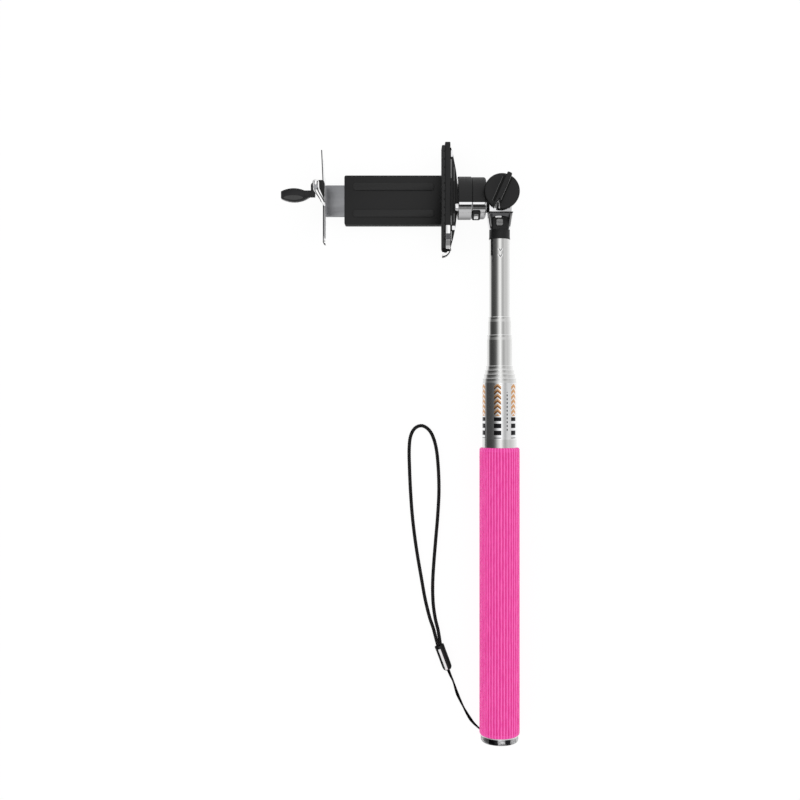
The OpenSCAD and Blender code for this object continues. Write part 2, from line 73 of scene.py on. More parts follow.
# Places that the frame gives: the handle's end on the pole's axis, the tilt pivot, the neck's swivel,
# the lever's hub and the height of the ground.
JOINTS = {joint["name"]: joint for joint in frame["joints"]}
AXIS = Vector((centre("grip_sleeve").x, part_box("end_cap")[0].y, centre("grip_sleeve").z))
PIVOT = Vector(JOINTS["knob_turn"]["pos_m"])
NECK = Vector(JOINTS["holder_swivel"]["pos_m"])
HUB = Vector(JOINTS["lever_swing"]["pos_m"])
GROUND = CAD_BOX[0].z
NECK_Y = (NECK - AXIS).y / MM
HUB_X, HUB_Y = ((HUB - AXIS) / MM).xy

# Heights above the pole's axis, in millimetres, of the faces that carry small marks.
KNOB_FACE = 14.2
NOTCH_FACE = 11.6
CLEVIS_FACE = 6.3
LUG_FACE = 11.4
BOW_FACE = 5.0
HOOK_FACE = 6.5
CAM_FACE = 8.12
PAD_FACE = 8.9


def at(x, y, z):
    """A point given in millimetres from the pole's axis and the handle's end."""
    return AXIS + Vector((x, y, z)) * MM


# ---------------------------------------------------------------- camera, which looks straight down
VIEW_X, VIEW_Y = -50.2, 172.0
CAMERA_HEIGHT = 0.550
FRAME_WIDTH = 0.4036
camera_data = bpy.data.cameras.new("camera")
camera = bpy.data.objects.new("camera", camera_data)
bpy.context.scene.collection.objects.link(camera)
camera.location = at(VIEW_X, VIEW_Y, 0) + Vector((0, 0, CAMERA_HEIGHT))
camera_data.sensor_width = 36
camera_data.lens = camera_data.sensor_width * CAMERA_HEIGHT / FRAME_WIDTH
camera_data.clip_start = 0.01
camera_data.clip_end = 20
bpy.context.scene.camera = camera
bpy.context.scene.view_settings.view_transform = "Standard"


# ---------------------------------------------------------------- helpers for shaders
def new_material(name):
    material = bpy.data.materials.new(name)
    material.use_nodes = True
    tree = material.node_tree
    return material, tree, tree.nodes["Principled BSDF"]


def add(tree, kind, **values):
    """A shader node, with its properties and its inputs set by name."""
    item = tree.nodes.new(kind)
    for key, value in values.items():
        if hasattr(item, key):
            setattr(item, key, value)
        else:
            item.inputs[key.replace("_", " ")].default_value = value
    return item


def join(tree, source, target):
    tree.links.new(source, target)


def maths(tree, operation, *terms):
    """One step of arithmetic on sockets and numbers."""
    item = tree.nodes.new("ShaderNodeMath")
    item.operation = operation
    for place, term in enumerate(terms):
        if isinstance(term, (int, float)):
            item.inputs[place].default_value = term
        else:
            join(tree, term, item.inputs[place])
    return item.outputs[0]


def coordinates(tree, stretch=(1, 1, 1)):
    """Object coordinates, in metres, scaled along each axis."""
    place = add(tree, "ShaderNodeTexCoord")
    mapping = add(tree, "ShaderNodeMapping", Scale=stretch)
    join(tree, place.outputs["Object"], mapping.inputs["Vector"])
    return mapping.outputs["Vector"]


def ramp(tree, source, stops):
    """A colour ramp; each stop is its place and a grey or a colour."""
    item = add(tree, "ShaderNodeValToRGB")
    elements = item.color_ramp.elements
    while len(elements) < len(stops):
        elements.new(0.5)
    for element, (place, value) in zip(elements, stops):
        element.position = place
        element.color = (*value, 1) if hasattr(value, "__len__") else (value, value, value, 1)
    join(tree, source, item.inputs["Fac"])
    return item.outputs["Color"]


def blend_colours(tree, share, first, second):
    """From the first colour to the second as the share goes from 0 to 1."""
    item = add(tree, "ShaderNodeMix", data_type="RGBA")
    join(tree, share, item.inputs["Factor"])
    for socket, value in ((item.inputs["A"], first), (item.inputs["B"], second)):
        if hasattr(value, "__len__"):
            socket.default_value = (*value, 1)
        else:
            join(tree, value, socket)
    return item.outputs["Result"]


def bump(tree, shader, height, strength, distance):
    item = add(tree, "ShaderNodeBump", Strength=strength, Distance=distance)
    join(tree, height, item.inputs["Height"])
    join(tree, item.outputs["Normal"], shader.inputs["Normal"])


MICRON = 0.000001


def grainy(name, colour, metallic=0.0, rough=(0.3, 0.4), scale=900, stretch=(1, 1, 1),
           depth=20, strength=0.3, tint=0.1, specular=0.5):
    """A surface whose colour, roughness and relief all follow one fine noise; depth is in micrometres."""
    material, tree, shader = new_material(name)
    noise = add(tree, "ShaderNodeTexNoise", Scale=scale, Detail=4.0)
    join(tree, coordinates(tree, stretch), noise.inputs["Vector"])
    dark = tuple(c * (1 - tint) for c in colour)
    join(tree, ramp(tree, noise.outputs["Fac"], [(0.3, dark), (0.7, colour)]), shader.inputs["Base Color"])
    roughness = ramp(tree, noise.outputs["Fac"], [(0.3, rough[0]), (0.7, rough[1])])
    join(tree, roughness, shader.inputs["Roughness"])
    shader.inputs["Metallic"].default_value = metallic
    shader.inputs["Specular IOR Level"].default_value = specular
    bump(tree, shader, noise.outputs["Fac"], strength, depth * MICRON)
    return material


def paint(node, material):
    """Gives a CAD node its material."""
    mesh = NODES[node].data
    mesh.materials.clear()
    mesh.materials.append(material)


# ---------------------------------------------------------------- materials
STEEL = grainy("polished_steel", (0.80, 0.80, 0.79), metallic=1.0, rough=(0.07, 0.11), scale=400,
               stretch=(1, 0.03, 1), depth=4, strength=0.2, tint=0.05)
CHROME = grainy("chrome_plate", (0.84, 0.84, 0.85), metallic=1.0, rough=(0.05, 0.09), scale=300,
                depth=3, strength=0.15, tint=0.03)
# A dim metal for painted reflections on chrome: the clevis's lower face and a band on the hook.
DIM_REFLECTION_METAL = grainy("painted_dim_reflection", (0.12, 0.12, 0.125), metallic=1.0, rough=(0.22, 0.34), scale=1400,
               depth=10, tint=0.3)
PLAIN_STEEL = grainy("zinc_steel", (0.38, 0.385, 0.40), metallic=1.0, rough=(0.28, 0.36),
                     stretch=(0.1, 1, 1), depth=6, strength=0.2, tint=0.08)
BRASS = grainy("turned_brass", (0.72, 0.52, 0.25), metallic=1.0, rough=(0.2, 0.32), scale=500, depth=10,
               strength=0.25, tint=0.12)
BLACK = grainy("black_plastic", (0.0105, 0.0105, 0.011), rough=(0.38, 0.52), scale=1800, depth=30,
               tint=0.25, specular=0.3)
COVER = grainy("turned_plastic", (0.014, 0.014, 0.0145), rough=(0.42, 0.55), scale=1500,
               stretch=(3, 0.1, 0.1), depth=30, strength=0.35, tint=0.2, specular=0.3)
GLOSS = grainy("gloss_plastic", (0.007, 0.007, 0.008), rough=(0.14, 0.22), scale=700, depth=8,
               strength=0.2, tint=0.2, specular=0.3)
# Painted highlights on black plastic, and a painted grey reflection on the chrome neck.
PAINTED_GLEAM = grainy("painted_gleam", (0.10, 0.10, 0.10), rough=(0.3, 0.45), scale=1500, tint=0.3)
# Painted shade on and beside the knob's bar.
PAINTED_SHADE = grainy("painted_shade_plastic", (0.008, 0.008, 0.008), rough=(0.5, 0.65), scale=1800, depth=30,
               tint=0.25, specular=0.2)
PAD_RIM = grainy("pad_rim", (0.022, 0.022, 0.022), rough=(0.3, 0.45), scale=1500, tint=0.3,
                 specular=0.3)
BRIGHT_CHROME = grainy("bright_chrome", (0.97, 0.97, 0.97), metallic=1.0, rough=(0.04, 0.09), scale=500,
                       depth=4, strength=0.2, tint=0.04)
SHADED = grainy("shaded_plastic", (0.003, 0.003, 0.003), rough=(0.5, 0.65), scale=1800, depth=30,
                tint=0.25, specular=0.15)
# Chrome painted dark: painted shadows by the stamped marks, painted shade on the walls of the hook and cam and
# round the hook's curl, dark painted reflections on the end cap, and the cam's two dark lines.
CHROME_PAINTED_DARK = grainy("chrome_painted_dark", (0.035, 0.035, 0.038), metallic=1.0, rough=(0.12, 0.22), depth=8,
                     tint=0.3)
# A grey for the collar's screw and the notch plate, also used for painted highlights and painted reflections.
STREAK_GREY = grainy("grey_streak", (0.23, 0.23, 0.23), rough=(0.3, 0.42), scale=1500,
                     stretch=(1, 0.2, 1), tint=0.3)
# A painted highlight: the lighter oval on the lever's dished thumb pad.
PAD_HIGHLIGHT = grainy("thumb_pad_highlight", (0.046, 0.046, 0.046), rough=(0.5, 0.65), scale=2400, depth=30,
                  strength=0.4, tint=0.3)
# A painted reflection of a busy room, speckled, on the end cap's chrome.
ROOM_REFLECTION_CHROME = grainy("chrome_painted_room_reflection", (0.85, 0.85, 0.86), metallic=1.0, rough=(0.1, 0.3), scale=1500,
                  depth=40, strength=0.5, tint=0.85)
# A pale colour for the clip and wire in the knob's notch, also used for painted highlights.
STREAK = grainy("pale_streak", (0.86, 0.86, 0.86), rough=(0.25, 0.35), depth=10, strength=0.2,
                tint=0.12)
RUBBER = grainy("black_rubber", (0.014, 0.014, 0.0145), rough=(0.6, 0.75), scale=2500, depth=40,
                strength=0.4, tint=0.2)
GREY_RUBBER = grainy("grey_rubber", (0.42, 0.42, 0.425), rough=(0.6, 0.75), scale=2500, depth=40,
                     strength=0.4, tint=0.15)

RIBS = 42


def ribbed_rubber():
    """Rubber with painted shade in the sleeve's lengthwise grooves and a painted highlight on the ribs between
    them, with a fine noise over it.
    """
    material, tree, shader = new_material("pink_rubber")
    place = add(tree, "ShaderNodeTexCoord")
    parts = add(tree, "ShaderNodeSeparateXYZ")
    join(tree, place.outputs["Object"], parts.inputs["Vector"])
    out = maths(tree, "SUBTRACT", parts.outputs["X"], AXIS.x)
    up = maths(tree, "SUBTRACT", parts.outputs["Z"], AXIS.z)
    turn = maths(tree, "ARCTAN2", up, out)
    # Painted shade and highlight: the colour darkens and lightens round the sleeve with its ribs.
    rib_shading = maths(tree, "COSINE", maths(tree, "MULTIPLY", turn, RIBS))
    noise = add(tree, "ShaderNodeTexNoise", Scale=1600.0, Detail=3.0)
    join(tree, coordinates(tree, (1, 0.12, 1)), noise.inputs["Vector"])
    painted_light_and_grain = maths(tree, "ADD", maths(tree, "MULTIPLY", rib_shading, -0.32), noise.outputs["Fac"])
    colours = [(0.28, (0.78, 0.030, 0.30)), (0.5, (0.90, 0.060, 0.40)), (0.78, (0.98, 0.125, 0.49))]
    join(tree, ramp(tree, painted_light_and_grain, colours), shader.inputs["Base Color"])
    join(tree, ramp(tree, painted_light_and_grain, [(0.2, 0.62), (0.8, 0.46)]), shader.inputs["Roughness"])
    bump(tree, shader, noise.outputs["Fac"], 0.35, 30 * MICRON)
    return material


PINK = ribbed_rubber()


def braid():
    """Black yarn with a painted highlight where its strands stand up."""
    material, tree, shader = new_material("strap_braid")
    ridge = add(tree, "ShaderNodeAttribute", attribute_name="ridge")
    noise = add(tree, "ShaderNodeTexNoise", Scale=3000.0, Detail=3.0)
    join(tree, coordinates(tree), noise.inputs["Vector"])
    painted_light_and_grain = maths(tree, "ADD", maths(tree, "MULTIPLY", ridge.outputs["Fac"], 0.7),
                  maths(tree, "MULTIPLY", noise.outputs["Fac"], 0.3))
    colours = [(0.64, (0.002, 0.002, 0.002)), (0.78, (0.012, 0.012, 0.012)), (0.9, (0.13, 0.13, 0.13))]
    join(tree, ramp(tree, painted_light_and_grain, colours), shader.inputs["Base Color"])
    join(tree, ramp(tree, noise.outputs["Fac"], [(0.3, 0.45), (0.7, 0.65)]), shader.inputs["Roughness"])
    shader.inputs["Specular IOR Level"].default_value = 0.02
    bump(tree, shader, noise.outputs["Fac"], 0.4, 40 * MICRON)
    return material


CORD = braid()

BY_SLOT = {
    "tube_steel": STEEL,
    "grip_rubber": PINK,
    "chrome": CHROME,
    "black_plastic": BLACK,
    "cover_plastic": COVER,
    "gloss_black": GLOSS,
    "label_film": STEEL,
    "cord": CORD,
    "plain_steel": PLAIN_STEEL,
    "dark_steel": BLACK,
    "brass": BRASS,
    "black_rubber": RUBBER,
    "grey_rubber": GREY_RUBBER,
}
for node_name, slot_name in SLOT_OF.items():
    paint(node_name, BY_SLOT[slot_name])


# ---------------------------------------------------------------- helpers for pieces
def new_piece(name, points, faces, materials, body, smooth=True):
    """A mesh object in the row frame that rides on a body."""
    mesh = bpy.data.meshes.new(name)
    mesh.from_pydata([tuple(p) for p in points], [], faces)
    mesh.update()
    for material in materials:
        mesh.materials.append(material)
    for polygon in mesh.polygons:
        polygon.use_smooth = smooth
    piece = bpy.data.objects.new(name, mesh)
    bpy.context.scene.collection.objects.link(piece)
    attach(piece, body)
    return piece


def outward(piece):
    """Turns all the faces of a closed piece outwards, and marks its sharp edges."""
    edit = bmesh.new()
    edit.from_mesh(piece.data)
    bmesh.ops.recalc_face_normals(edit, faces=edit.faces)
    edit.to_mesh(piece.data)
    edit.free()
    piece.data.set_sharp_from_angle(angle=math.radians(40))
    return piece


def round_edges(piece, width):
    """Rounds the piece's sharp edges, to a width in millimetres."""
    rounding = piece.modifiers.new("soft_edges", "BEVEL")
    rounding.width = width * MM
    rounding.segments = 2
    rounding.limit_method = "ANGLE"
    rounding.angle_limit = math.radians(35)
    rounding.harden_normals = True
    graph = bpy.context.evaluated_depsgraph_get()
    finished = bpy.data.meshes.new_from_object(piece.evaluated_get(graph))
    piece.modifiers.clear()
    piece.data = finished


def softened(node, width, material=None):
    """A copy of a CAD node with rounded edges, standing in for the node."""
    slot = SLOT_OF[node]
    edit = bmesh.new()
    edit.from_mesh(NODES[node].data)
    bmesh.ops.remove_doubles(edit, verts=edit.verts, dist=1e-6)
    bmesh.ops.dissolve_limit(edit, angle_limit=math.radians(3), verts=edit.verts, edges=edit.edges)
    piece = new_piece(node + "_soft", [], [], [material or BY_SLOT[slot]], BODY_OF[node])
    edit.to_mesh(piece.data)
    edit.free()
    for polygon in piece.data.polygons:
        polygon.use_smooth = True
    round_edges(piece, width)
    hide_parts(node)
    return piece


def recolour(piece, material, wanted):
    """Gives one more material to the faces whose centre and normal pass the test."""
    piece.data.materials.append(material)
    for polygon in piece.data.polygons:
        middle = (polygon.center - AXIS) / MM
        if wanted(middle, polygon.normal):
            polygon.material_index = len(piece.data.materials) - 1


def ring_faces(rings, sides):
    """The faces of a closed tube, whose points are listed ring by ring."""
    faces = []
    for start in range(0, (rings - 1) * sides, sides):
        for k in range(sides):
            n = (k + 1) % sides
            faces.append((start + k, start + n, start + sides + n, start + sides + k))
    faces.append(tuple(reversed(range(sides))))
    faces.append(tuple((rings - 1) * sides + k for k in range(sides)))
    return faces


def prism(name, outline, low, high, place, material, body, edge=0.0):
    """A plate of the given outline in millimetres; place turns its coordinates into a point."""
    points = [place(x, y, z) for z in (low, high) for x, y in outline]
    piece = outward(new_piece(name, points, ring_faces(2, len(outline)), [material], body))
    if edge:
        round_edges(piece, edge)
    return piece


def round_rect(x0, y0, x1, y1, r):
    """The outline of a rectangle with corners of radius r."""
    steps = 5
    corners = ((x1 - r, y0 + r, -90), (x1 - r, y1 - r, 0), (x0 + r, y1 - r, 90), (x0 + r, y0 + r, 180))
    outline = []
    for cx, cy, start in corners:
        for k in range(steps + 1):
            turn = math.radians(start + 90 * k / steps)
            outline.append((cx + r * math.cos(turn), cy + r * math.sin(turn)))
    return outline


def ellipse(cx, cy, a, b):
    """The outline of an ellipse with the half axes a and b."""
    sides = 36
    turns = [2 * math.pi * k / sides for k in range(sides)]
    return [(cx + a * math.cos(turn), cy + b * math.sin(turn)) for turn in turns]


def smooth_line(points, steps):
    """A Catmull-Rom curve through the points."""
    count = len(points)
    line = []
    for i in range(count - 1):
        a, b = points[max(i - 1, 0)], points[i]
        c, d = points[i + 1], points[min(i + 2, count - 1)]
        for s in range(steps):
            t = s / steps
            line.append(0.5 * (2 * b + (c - a) * t + (2 * a - 5 * b + 4 * c - d) * t * t
                               + (3 * b - a - 3 * c + d) * t ** 3))
    return line + [points[-1]]


def evenly(line, gap):
    """The same line with its points evenly spaced, about a gap apart."""
    length = sum((b - a).length for a, b in zip(line, line[1:]))
    count = max(2, round(length / gap))
    step = length / count
    result, walked, target = [line[0]], 0.0, step
    for a, b in zip(line, line[1:]):
        run = (b - a).length
        while run and walked + run >= target - 1e-12 and len(result) < count:
            result.append(a.lerp(b, (target - walked) / run))
            target += step
        walked += run
    return result + [line[-1]]


def swept(name, line, radius_at, sides, material, body):
    """A closed tube along a line; radius_at(distance, angle) gives its radius in metres."""
    points, radii = [], []
    side = None
    walked = 0.0
    for i, here in enumerate(line):
        ahead = (line[min(i + 1, len(line) - 1)] - line[max(i - 1, 0)]).normalized()
        if side is None:
            side = ahead.cross(Vector((0, 0, 1))).normalized()
        side = (side - ahead * side.dot(ahead)).normalized()
        rise = ahead.cross(side)
        if i:
            walked += (here - line[i - 1]).length
        for k in range(sides):
            angle = 2 * math.pi * k / sides
            radii.append(radius_at(walked, angle))
            points.append(here + (side * math.cos(angle) + rise * math.sin(angle)) * radii[-1])
    piece = outward(new_piece(name, points, ring_faces(len(line), sides), [material], body))
    low, high = min(radii), max(radii)
    ridge = piece.data.attributes.new("ridge", "FLOAT", "POINT")
    for i, radius in enumerate(radii):
        ridge.data[i].value = (radius - low) / (high - low)
    return piece


def rippled(radius, ripple, waves=2):
    """For swept(): a radius in millimetres that wavers a little round the tube."""
    return lambda walked, angle: (radius + ripple * math.cos(waves * angle)) * MM


# ---------------------------------------------------------------- wrist strap
THREAD_ROUTE = [(-3.5, 2.2, 8), (-5, 2.2, 6.1), (-6.8, 2.3, 3.7), (-8.5, 2.9, 1.7), (-10.8, 4.5, 0.8),
                (-13.4, 7.2, 0.6), (-15.9, 11.1, 0.6), (-18.1, 15.3, 0.6), (-20.7, 20.9, 0.6),
                (-22.8, 27.3, 0.9), (-24.2, 30.5, 1.6), (-25.4, 33.6, 2.2)]
LOOP_ROUTE = [(-30.8, 46.2, 2.4), (-31.6, 49.2, 2.2), (-33.1, 54.8, 1.4), (-35, 60.4, 0.9),
              (-37.3, 69.8, 0.9), (-39.3, 81, 0.9), (-41.2, 92, 0.9), (-42.8, 103, 0.9),
              (-44, 114, 0.9), (-44.8, 125.4, 0.9), (-45.3, 136.5, 0.9), (-45.5, 146.5, 0.9),
              (-44.8, 153.2, 0.9), (-42.6, 157.4, 0.9), (-39.1, 158.8, 0.9), (-35.7, 157, 0.9),
              (-33.3, 153.2, 0.9), (-31.5, 146.6, 0.9), (-30.5, 136.5, 0.9), (-30.2, 125, 0.9),
              (-30.8, 113, 0.9), (-31.8, 101, 0.9), (-32.8, 88.7, 0.9), (-33.4, 78, 0.9),
              (-33.2, 68, 0.9), (-32.1, 59.9, 0.9), (-30.6, 53.6, 1.4), (-29.5, 46.6, 2.4)]
THREAD_D = 1.2
LOOP_D = 1.8
TAPE_PITCH = 14
STRAND_PITCH = 1.6
BRAID_PITCH = 2.4 * LOOP_D


def on_ground(route):
    """The route's points; the third number is the height above the ground in millimetres."""
    return [Vector((at(x, y, 0).x, at(x, y, 0).y, GROUND + z * MM)) for x, y, z in route]


def twisted(walked, angle):
    """A flat tape of two strands that turns over slowly along its length."""
    turn = angle - math.pi * walked / (TAPE_PITCH * MM)
    wide, thin = 0.66, 0.44
    tape = wide * thin / math.hypot(thin * math.cos(turn), wide * math.sin(turn))
    strands = 0.05 * abs(math.sin(turn)) * abs(math.cos(2 * math.pi * walked / (STRAND_PITCH * MM) + turn))
    return (tape - strands) * THREAD_D * MM


def braided(walked, angle):
    """A round braid: strands cross in both directions and leave a diamond pattern."""
    turn = 2 * math.pi * walked / (BRAID_PITCH * MM)
    one = abs(math.cos(2 * angle + turn * 2))
    other = abs(math.cos(2 * angle - turn * 2))
    return (0.43 + 0.085 * max(one, other)) * LOOP_D * MM


def build_strap():
    """The twisted thread, the braided loop and the bead between them."""
    thread_line = evenly(smooth_line(on_ground(THREAD_ROUTE), 8), 0.3 * MM)
    loop_line = evenly(smooth_line(on_ground(LOOP_ROUTE), 8), 0.32 * MM)
    thread = swept("strap_twine", thread_line, twisted, 12, CORD, "handle")
    loop = swept("strap_braid_loop", loop_line, braided, 16, CORD, "handle")
    bead = build_bead(thread_line[-1], (loop_line[0] + loop_line[-1]) / 2)
    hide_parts("strap_thread")
    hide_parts("strap_loop")
    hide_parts("strap_bead")


def build_bead(low, high):
    """A tapered sleeve with a flared mouth for the loop, a pale streak on its left as a painted highlight, and
    painted shade on its flanks.
    """
    run = high - low
    length = run.length / MM
    body, lip, mouth = 2.42, 2.5, 1.4
    profile = [(0, 0.3), (0.05, 0.7), (0.35, body * 0.6), (0.9, body * 0.84), (1.7, body * 0.97),
               (3.0, body), (length - 2.6, body), (length - 1.5, body * 1.01), (length - 0.8, lip),
               (length - 0.15, lip), (length, lip * 0.94), (length, lip * 0.78),
               (length - mouth, body * 0.6), (length - mouth, 0.2)]
    ahead = run.normalized()
    side = ahead.cross(Vector((0, 0, 1))).normalized()
    rise = side.cross(ahead)
    sides = 48
    points = []
    for distance, radius in profile:
        for k in range(sides):
            angle = 2 * math.pi * k / sides
            points.append(low + ahead * distance * MM
                          + (side * math.cos(angle) + rise * math.sin(angle)) * radius * MM)
    materials = [GLOSS, STREAK, SHADED]
    bead = outward(new_piece("strap_slider", points, ring_faces(len(profile), sides), materials,
                             "handle"))
    for polygon in bead.data.polygons:
        offset = polygon.center - low
        across = offset.dot(side) / MM / body
        along = offset.dot(ahead) / MM
        # Painted highlight in a streak on the upper left, and painted shade on the flanks.
        if -0.52 < across < -0.02 and offset.dot(rise) > 0 and 1.0 < along < length - 1.5:
            polygon.material_index = materials.index(STREAK)
        elif abs(across) > 0.5:
            polygon.material_index = materials.index(SHADED)
    return bead


build_strap()


# ---------------------------------------------------------------- printed film on the widest tube
# Angles round the tube are in degrees, and sizes along and across it in millimetres.
FILM_GAP = 60  # from one column to the next
FILM_FIRST = 10.5  # turns the columns round the tube
FILM_SEAM = -91.5  # where the film's two edges meet, from straight up
FILM_FRONT = 90.0  # the side that faces straight up, from the seam
FILM_TRIM = 1.3  # the print starts this far above the film's lower edge
FILM_DEGREE = 0.1511  # the width of one degree of the tube
CHEVRON_BAND, CHEVRON_PITCH, CHEVRON_SLOPE, CHEVRON_HALF = (13.0, 28.9), 2.5, 0.85, 1.75
BLOCK_BAND, BLOCK_PITCH, BLOCK_HALF = (1.9, 12.4), 3.5, 1.85
TICK_BAND, TICK_PITCH, TICK_HALF, TICK_SHIFT = (5.0, 25.0), 1.9, 0.28, 4.15


def film_material():
    """Ink on clear film over steel: columns of orange chevrons with a brown edge in front, black blocks
    and small ticks."""
    material, tree, shader = new_material("printed_film")
    place = add(tree, "ShaderNodeUVMap", uv_map="film")
    parts = add(tree, "ShaderNodeSeparateXYZ")
    join(tree, place.outputs["UV"], parts.inputs["Vector"])
    turn, along = parts.outputs["X"], parts.outputs["Y"]
    column = maths(tree, "FRACT", maths(tree, "DIVIDE", maths(tree, "ADD", turn, FILM_FIRST), FILM_GAP))
    offset = maths(tree, "MULTIPLY", maths(tree, "SUBTRACT", column, 0.5), FILM_GAP * FILM_DEGREE)
    width = maths(tree, "ABSOLUTE", offset)

    def every(*masks):
        result = masks[0]
        for mask in masks[1:]:
            result = maths(tree, "MULTIPLY", result, mask)
        return result

    def band(low, high):
        return every(maths(tree, "GREATER_THAN", along, low), maths(tree, "LESS_THAN", along, high))

    def stripes(slope, pitch, share):
        phase = maths(tree, "ADD", along, maths(tree, "MULTIPLY", width, slope))
        return maths(tree, "LESS_THAN", maths(tree, "FRACT", maths(tree, "DIVIDE", phase, pitch)), share)

    in_chevrons = every(maths(tree, "LESS_THAN", width, CHEVRON_HALF), band(*CHEVRON_BAND))
    orange = every(stripes(CHEVRON_SLOPE, CHEVRON_PITCH, 0.68), in_chevrons)
    from_front = maths(tree, "ABSOLUTE", maths(tree, "SUBTRACT", turn, FILM_FRONT))
    brown = every(stripes(CHEVRON_SLOPE, CHEVRON_PITCH, 0.34), in_chevrons,
                  maths(tree, "LESS_THAN", from_front, FILM_GAP / 2))
    blocks = every(stripes(0.0, BLOCK_PITCH, 0.64), maths(tree, "LESS_THAN", width, BLOCK_HALF),
                   band(*BLOCK_BAND))
    tick_place = maths(tree, "ABSOLUTE", maths(tree, "ADD", offset, TICK_SHIFT))
    ticks = every(stripes(0.0, TICK_PITCH, 0.5), maths(tree, "LESS_THAN", tick_place, TICK_HALF),
                  band(*TICK_BAND), maths(tree, "GREATER_THAN", turn, FILM_FRONT))
    black = maths(tree, "MAXIMUM", blocks, ticks)
    noise = add(tree, "ShaderNodeTexNoise", Scale=700.0, Detail=3.0)
    join(tree, coordinates(tree), noise.inputs["Vector"])
    film = ramp(tree, noise.outputs["Fac"], [(0.3, (0.90, 0.91, 0.92)), (0.7, (0.97, 0.97, 0.97))])
    colour = blend_colours(tree, orange, film, (0.76, 0.42, 0.20))
    colour = blend_colours(tree, brown, colour, (0.24, 0.11, 0.05))
    colour = blend_colours(tree, black, colour, (0.02, 0.02, 0.022))
    join(tree, colour, shader.inputs["Base Color"])
    shader.inputs["Metallic"].default_value = 1.0
    ink = maths(tree, "MAXIMUM", orange, black)
    rough = maths(tree, "ADD", maths(tree, "MULTIPLY", ink, 0.16), 0.08)
    join(tree, rough, shader.inputs["Roughness"])
    height = maths(tree, "ADD", ink, maths(tree, "MULTIPLY", noise.outputs["Fac"], 0.1))
    bump(tree, shader, height, 0.2, 20 * MICRON)
    return material


def build_film():
    """The film is rolled round the tube and leaves a narrow seam open on the left."""
    low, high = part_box("label_film")
    radius = (high.x - low.x) / 2
    columns, rows = 120, 12
    seam = 1.2
    foot = low.y + FILM_TRIM * MM
    heights = [foot + (high.y - foot) * i / rows for i in range(rows + 1)]
    points, faces = [], []
    for y in heights:
        for k in range(columns + 1):
            angle = math.radians(FILM_SEAM + seam / 2 + (360 - seam) * k / columns)
            points.append((AXIS.x + radius * math.sin(angle), y, AXIS.z + radius * math.cos(angle)))
    wide = columns + 1
    for start in range(0, rows * wide, wide):
        for k in range(start, start + columns):
            faces.append((k, k + wide, k + wide + 1, k + 1))
    film = new_piece("printed_film", points, faces, [film_material()], "handle")
    layer = film.data.uv_layers.new(name="film")
    for loop in film.data.loops:
        row, column = divmod(loop.vertex_index, wide)
        layer.data[loop.index].uv = (360 * column / columns, (heights[row] - low.y) / MM)
    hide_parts("label_film")


build_film()


# ---------------------------------------------------------------- stamped marks on the thinnest tube
def build_marks():
    """Two small chevrons on the thinnest tube, pointing back down the pole, painted pale as a highlight, each with
    a painted shadow.
    """
    low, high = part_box("tube_7")
    tube_r = (high.x - low.x) / 2 / MM
    # The pale chevrons are a painted highlight and the dark ones a painted shadow.
    for name, material, shift, lift, arm, thick in (
            ("stamped_marks", STREAK, 0.0, 0.05, 1.3, 0.85),
            ("stamped_shadows", CHROME_PAINTED_DARK, 0.85, 0.07, 0.75, 0.45)):
        points, faces = [], []
        for tip_y in (245.7, 242.7):
            rise = arm * 1.15
            outline = [(-arm, rise + thick), (0, thick), (arm, rise + thick),
                       (arm, rise), (0, 0), (-arm, rise)]
            start = len(points)
            for level in (-0.05, lift):
                for x, y in outline:
                    r = tube_r + level
                    points.append(at(r * math.sin(x / tube_r), tip_y + y + shift, r * math.cos(x / tube_r)))
            for k in range(6):
                n = (k + 1) % 6
                faces.append((start + k, start + n, start + 6 + n, start + 6 + k))
            for base in (start, start + 6):
                faces.append((base, base + 1, base + 4, base + 5))
                faces.append((base + 1, base + 2, base + 3, base + 4))
        outward(new_piece(name, points, faces, [material], "pole_7", smooth=False))


build_marks()


# ---------------------------------------------------------------- rounded edges on moulded and pressed parts
for part_name, edge in (("tilt_knuckle", 0.25), ("ring_lug", 0.3), ("jaw_plate", 0.2), ("jaw_pad", 0.2),
                        ("rail_housing", 0.35), ("rail_cover", 0.3), ("rest_strips", 0.15),
                        ("slide_liner", 0.05), ("pivot_post", 0.25), ("top_collar", 0.05),
                        ("slide_tongue", 0.12), ("lever_arm", 0.35), ("bow_back", 0.25)):
    softened(part_name, edge)
softened("collar_screw", 0.12, material=STREAK_GREY)

# Hidden from mirror rays, so that the chrome neck stays free of pink.
grip = softened("grip_sleeve", 0.05)
grip.visible_glossy = False


# ---------------------------------------------------------------- clevis: chrome above, painted dim reflection below
CLEVIS_LINE = 265.95
clevis = softened("clevis", 0.2, material=CHROME)
# Painted reflection: the upward faces below the line are dim metal.
recolour(clevis, DIM_REFLECTION_METAL, lambda middle, normal: middle.y < CLEVIS_LINE and normal.z > 0.55)


# ---------------------------------------------------------------- knob
KNOB_LEAN = math.radians(23.5)


def from_pivot(x, y, z):
    """A point given from the tilt pivot, z above the pole's axis."""
    return Vector((PIVOT.x, PIVOT.y, AXIS.z)) + Vector((x, y, z)) * MM


def on_knob(u, v, z):
    """A point on the knob: u across the bar, v along it, z above the pole's axis."""
    x = u * math.cos(KNOB_LEAN) + v * math.sin(KNOB_LEAN)
    y = -u * math.sin(KNOB_LEAN) + v * math.cos(KNOB_LEAN)
    return from_pivot(x, y, z)


